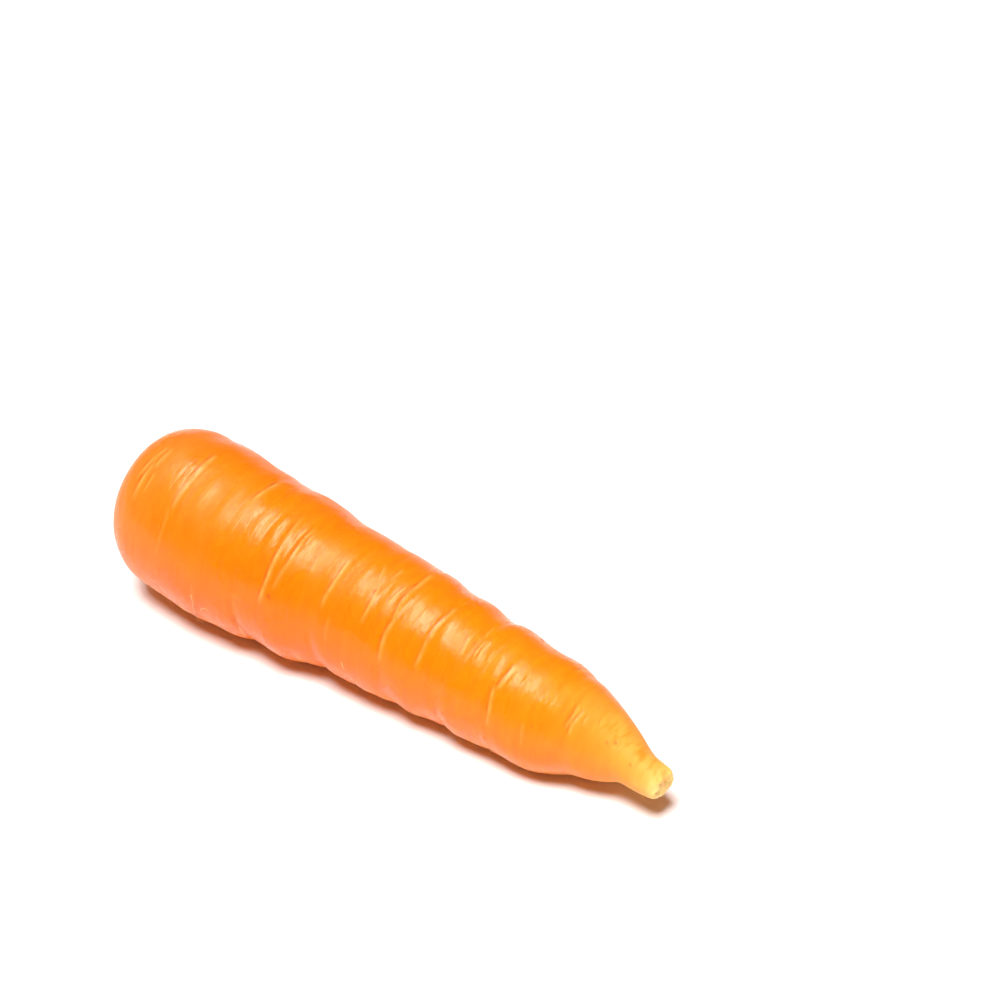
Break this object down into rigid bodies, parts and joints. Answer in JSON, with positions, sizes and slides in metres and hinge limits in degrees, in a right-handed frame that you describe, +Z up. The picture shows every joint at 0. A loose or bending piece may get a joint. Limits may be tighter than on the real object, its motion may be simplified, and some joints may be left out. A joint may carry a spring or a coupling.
{
  "type": "carrot",
  "caption": "Fresh orange carrot with its leaves cut off, lying on its side: stout root with round shoulder, growth creases and a short snapped pale tip.",
  "frame": {"origin": "middle of the box that holds the lying carrot, at the surface that it rests on", "axes": "+X along the root from the crown towards the tip, +Z up from the surface, +Y to the side"},
  "size_m": [0.1664, 0.0452, 0.0456],
  "materials": {
    "carrot_skin": "washed root skin, smooth and slightly damp, orange that turns yellow at the tip, with fine pale lines across it",
    "cut_stalk": "dry cut leaf stalks, dull green to tan"
  },
  "bodies": {
    "root": {"taproot": "carrot_skin", "leaf_stalk_stubs": "cut_stalk"}
  },
  "joints": []
}
